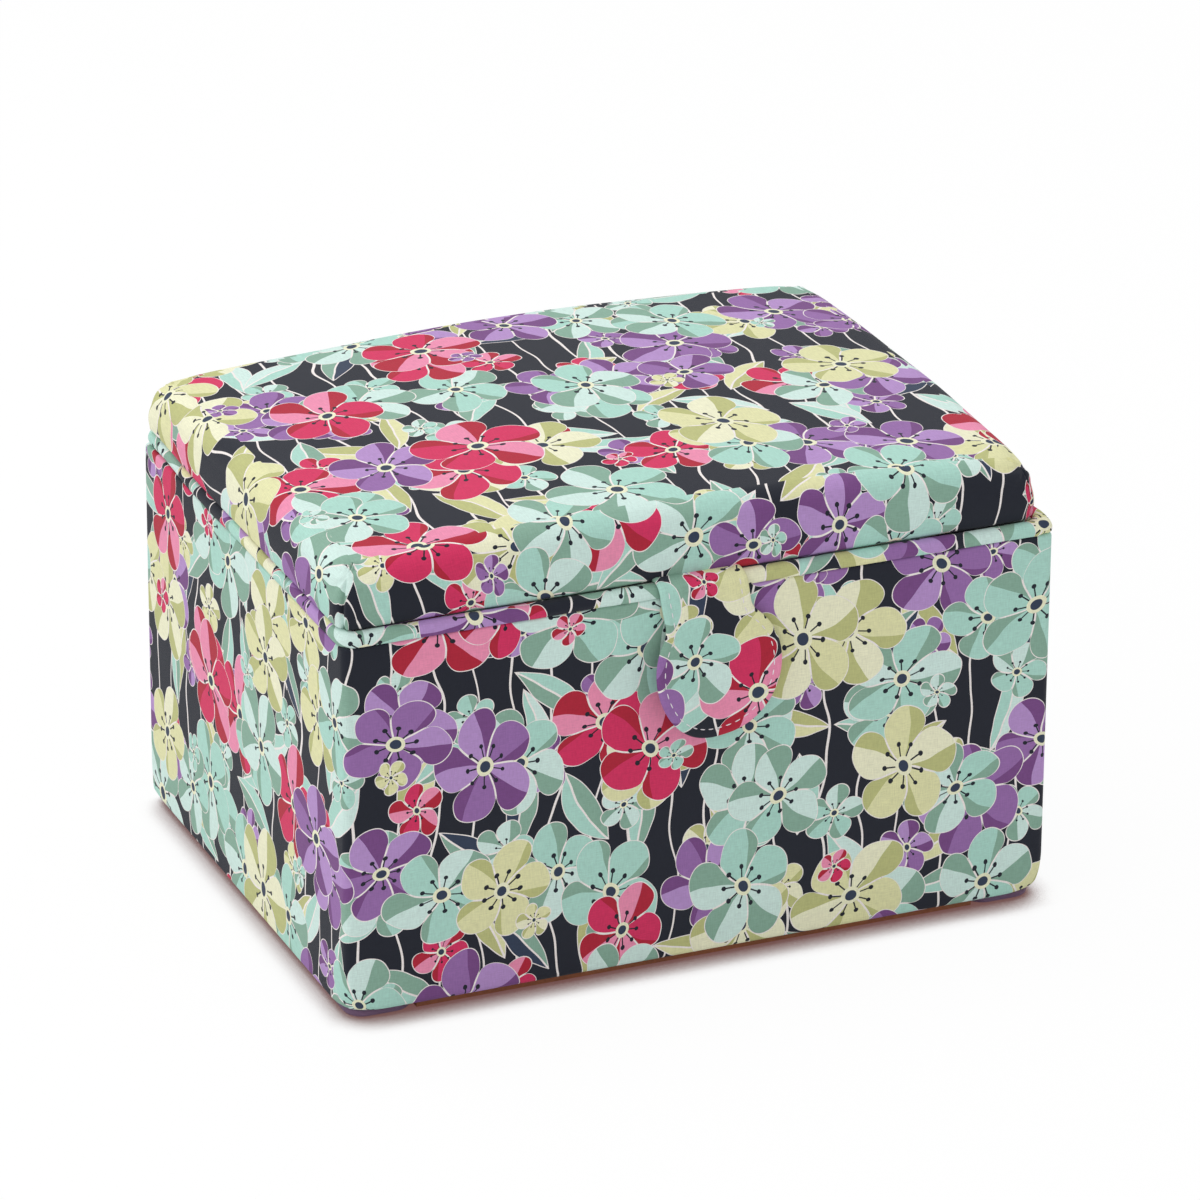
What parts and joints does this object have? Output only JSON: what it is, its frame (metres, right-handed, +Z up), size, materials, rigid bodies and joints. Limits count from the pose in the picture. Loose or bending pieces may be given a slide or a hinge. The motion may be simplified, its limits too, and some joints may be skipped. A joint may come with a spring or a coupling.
{
  "type": "sewing box",
  "caption": "Fabric-covered sewing box with a padded hinged lid, piped edge, hanging pull tab and compartment trays sliding on rails inside.",
  "frame": {"origin": "on the floor under the middle of the box", "axes": "+X to the right seen from the front, +Y to the hinged back, +Z up"},
  "size_m": [0.31, 0.2457, 0.204],
  "materials": {
    "printed_cotton": "plain-weave cotton with a printed floral",
    "lining_cotton": "plain mauve cotton over card",
    "cushion_cotton": "plain cream cotton, stuffed",
    "foam": "upholstery foam",
    "board": "fibreboard",
    "hardboard": "brown hardboard",
    "tray_plastic": "natural moulded plastic",
    "hinge_steel": "nickel-plated steel"
  },
  "bodies": {
    "box": {"corner_feet": "printed_cotton", "base_board": "hardboard", "body_cover": "printed_cotton", "front_panel": "board", "back_panel": "board", "left_panel": "board", "right_panel": "board", "bottom_panel": "board", "base_lining": "lining_cotton", "front_lining": "lining_cotton", "back_lining": "lining_cotton", "left_lining": "lining_cotton", "right_lining": "lining_cotton", "upper_rail_front": "lining_cotton", "upper_rail_back": "lining_cotton", "lower_rail_front": "lining_cotton", "lower_rail_back": "lining_cotton", "box_hinge_leaf_left": "hinge_steel", "box_hinge_leaf_right": "hinge_steel", "hinge_pin_left": "hinge_steel", "hinge_pin_right": "hinge_steel", "box_hinge_screws": "hinge_steel"},
    "lid": {"lid_board": "board", "lid_pad": "foam", "lid_cover": "printed_cotton", "lid_piping": "printed_cotton", "lid_lining": "lining_cotton", "pincushion": "cushion_cotton", "tab_root": "printed_cotton", "lid_hinge_leaf_left": "hinge_steel", "lid_hinge_leaf_right": "hinge_steel", "lid_hinge_screws": "hinge_steel"},
    "pull_tab": {"pull_tab": "printed_cotton"},
    "upper_tray": {"upper_tray": "tray_plastic"},
    "lower_tray": {"lower_tray": "tray_plastic"}
  },
  "joints": [
    {"name": "lid_hinge", "type": "hinge", "parent": "box", "child": "lid", "pos_m": [0, 0.1184, 0.1653], "axis": [-1, 0, 0], "range_deg": [0, 100]},
    {"name": "tab_lift", "type": "hinge", "parent": "lid", "child": "pull_tab", "pos_m": [0, -0.1125, 0.1678], "axis": [-1, 0, 0], "range_deg": [0, 60]},
    {"name": "upper_tray_slide", "type": "slide", "parent": "box", "child": "upper_tray", "axis": [1, 0, 0], "range_m": [0, 0.118]},
    {"name": "lower_tray_slide", "type": "slide", "parent": "box", "child": "lower_tray", "axis": [-1, 0, 0], "range_m": [0, 0.118]}
  ]
}
